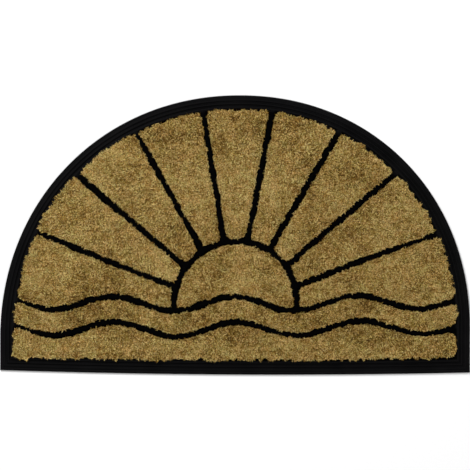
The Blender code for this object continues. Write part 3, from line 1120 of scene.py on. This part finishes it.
# Painted shade: deep in the pile, a strand's colour is mixed with this dark brown, the more the
# nearer it lies to the roots.
COIR_PAINTED_SHADE = (0.095, 0.056, 0.011)
ROOTS_SHADE = 0.55  # the share of a strand's own colour that is left at the roots
SHADED_UP_TO = PILE_TOP - 0.0004
COIR_ROUGHNESS = (0.68, 0.9)
COIR_GLOSS = 0.12
COIR_SHEEN = 0.03
COIR_SHEEN_ROUGHNESS = 0.5
PITH_SIZE = 0.0005
PITH_DEPTH = 0.00012
PITH_STRENGTH = 0.5


def moved_place(tree, place, change, amount):
    """The place that a pattern reads, moved or scaled."""
    mapping = tree.nodes.new("ShaderNodeMapping")
    mapping.inputs[change].default_value = amount
    tree.links.new(place, mapping.inputs["Vector"])
    return mapping.outputs["Vector"]


def make_coir():
    """Coconut fibre: dry golden brown strands, each of its own tone, with painted shade that darkens
    them down at the roots.
    """
    coir, tree, shader = shader_material("coconut_fibre")
    place = object_place(tree)
    shades = noise_of(tree, moved_place(tree, place, "Location", SHADES_FROM), SHADES_SIZE, 2)
    patches = noise_of(tree, place, PATCH_SIZE, 3)
    flecks = noise_of(tree, place, FLECK_SIZE, 1)
    clumps = noise_of(tree, place, CLUMP_SIZE, 2)
    packed = tree.nodes.new("ShaderNodeTexVoronoi")
    packed.inputs["Scale"].default_value = 1 / PACKED_ENDS
    upright = moved_place(tree, place, "Scale", (1, 1, PACKED_DRAWN_UP))
    tree.links.new(upright, packed.inputs["Vector"])
    tone = sum_of(
        tree,
        spread_of(tree, attribute_of(tree, "strand"), WHOLE, STRAND_TONES),
        spread_of(tree, attribute_of(tree, "tuft"), WHOLE, TUFT_TONE_AND_SHADE),
        spread_of(tree, clumps, NOISE_SPAN, CLUMP_TONES),
        spread_of(tree, shades, NOISE_SPAN, SHADES_TONES),
        spread_of(tree, patches, NOISE_SPAN, PATCH_TONES),
        spread_of(tree, flecks, FLECK_SPAN, FLECK_TONES),
        spread_of(tree, packed.outputs["Distance"], PACKED_SPAN, PACKED_END_SHADE_TONES),
    )
    husks = noise_of(tree, place, HUSK_SIZE, 2)
    fibres = noise_of(tree, place, FIBRE_SIZE, 2)
    ripeness = sum_of(
        tree,
        spread_of(tree, husks, NOISE_SPAN, HUSK_TINTS),
        spread_of(tree, fibres, NOISE_SPAN, FIBRE_TINTS),
    )
    tinted, shaded = (tree.nodes.new("ShaderNodeMix") for _ in range(2))
    tinted.data_type = shaded.data_type = "RGBA"
    tinted.blend_type = "MULTIPLY"
    tinted.inputs["Factor"].default_value = 1
    tree.links.new(ramp_of(tree, tone, COIR_TONES), tinted.inputs["A"])
    tree.links.new(ramp_of(tree, ripeness, COIR_TINTS), tinted.inputs["B"])
    parts = tree.nodes.new("ShaderNodeSeparateXYZ")
    tree.links.new(place, parts.inputs[0])
    # painted shade, stronger deeper down the pile
    depth = spread_of(tree, parts.outputs["Z"], (ROOTS_TOP, SHADED_UP_TO), (ROOTS_SHADE, 1))
    tree.links.new(depth, shaded.inputs["Factor"])
    shaded.inputs["A"].default_value = (*COIR_PAINTED_SHADE, 1)
    tree.links.new(tinted.outputs["Result"], shaded.inputs["B"])
    tree.links.new(shaded.outputs["Result"], shader.inputs["Base Color"])
    dryness = spread_of(tree, flecks, NOISE_SPAN, COIR_ROUGHNESS)
    tree.links.new(dryness, shader.inputs["Roughness"])
    shader.inputs["Specular IOR Level"].default_value = COIR_GLOSS
    shader.inputs["Sheen Weight"].default_value = COIR_SHEEN
    shader.inputs["Sheen Roughness"].default_value = COIR_SHEEN_ROUGHNESS
    pith = noise_of(tree, place, PITH_SIZE, 2)
    cut_ends = spread_of(tree, packed.outputs["Distance"], PACKED_ROUND, (1, 0))
    packing = bump_of(tree, cut_ends, PACKED_DEPTH, PACKED_STRENGTH)
    pitted = bump_of(tree, pith, PITH_DEPTH, PITH_STRENGTH, packing)
    tree.links.new(pitted, shader.inputs["Normal"])
    return coir


coir = make_coir()
pile_nodes = [f"coir_ray_{number}" for number in range(1, RAY_COUNT + 2)]
pile_nodes += ["coir_sun", "coir_wave", "coir_foot"]
for seed, node in enumerate(pile_nodes):
    pile = make_pile(node, f"{node.removeprefix('coir_')}_pile", seed)
    pile.data.materials.append(coir)
    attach(pile, "root")
    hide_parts(node)

# Studio.
# A plain white floor under soft even light, seen from straight above as in the photograph: the
# mat's two ends touch the sides of the frame.

SENSOR = 0.036
LENS = 0.120
SEEN_LEVEL = 0.004  # the height of the edges that touch the sides of the frame
MIDDLE_OF_FRAME = (0, 0)
FLOOR_SIZE = 8
FLOOR_LEVEL = -0.0005
PAPER_TONES = ((0.0, (0.86, 0.86, 0.86)), (1.0, (0.9, 0.9, 0.9)))
PAPER_TOOTH = 0.004
ROOM_LIGHT = 0.45

bpy.ops.object.select_all(action="DESELECT")
bpy.ops.mesh.primitive_plane_add(size=FLOOR_SIZE, location=(0, 0, FLOOR_LEVEL))
floor = bpy.context.object
floor.name = "studio_floor"
paper, tree, shader = shader_material("white_paper")
tooth = noise_of(tree, object_place(tree), PAPER_TOOTH, 3)
tree.links.new(ramp_of(tree, tooth, PAPER_TONES), shader.inputs["Base Color"])
shader.inputs["Roughness"].default_value = 0.9
floor.data.materials.append(paper)

world = bpy.data.worlds.new("soft_room")
world.use_nodes = True
room = world.node_tree.nodes["Background"]
room.inputs["Color"].default_value = (1, 1, 1, 1)
room.inputs["Strength"].default_value = ROOM_LIGHT
bpy.context.scene.world = world


def soft_light(name, place, size, power):
    """A square soft box that points at the mat."""
    lamp = bpy.data.lights.new(name, "AREA")
    lamp.shape, lamp.size, lamp.energy = "SQUARE", size, power
    light = bpy.data.objects.new(name, lamp)
    light.location = place
    light.rotation_euler = (-Vector(place)).to_track_quat("-Z", "Y").to_euler()
    bpy.context.collection.objects.link(light)


soft_light("key_light", place=(-1.0, 1.2, 1.9), size=0.8, power=52)
soft_light("fill_light", place=(1.4, -0.9, 1.8), size=1.6, power=16)

lens = bpy.data.cameras.new("camera")
lens.sensor_width, lens.lens = SENSOR * MM, LENS * MM
camera = bpy.data.objects.new("camera", lens)
camera.location = (*MIDDLE_OF_FRAME, WIDTH * LENS / SENSOR + SEEN_LEVEL)
bpy.context.collection.objects.link(camera)
bpy.context.scene.camera = camera
bpy.context.scene.view_settings.view_transform = "Standard"
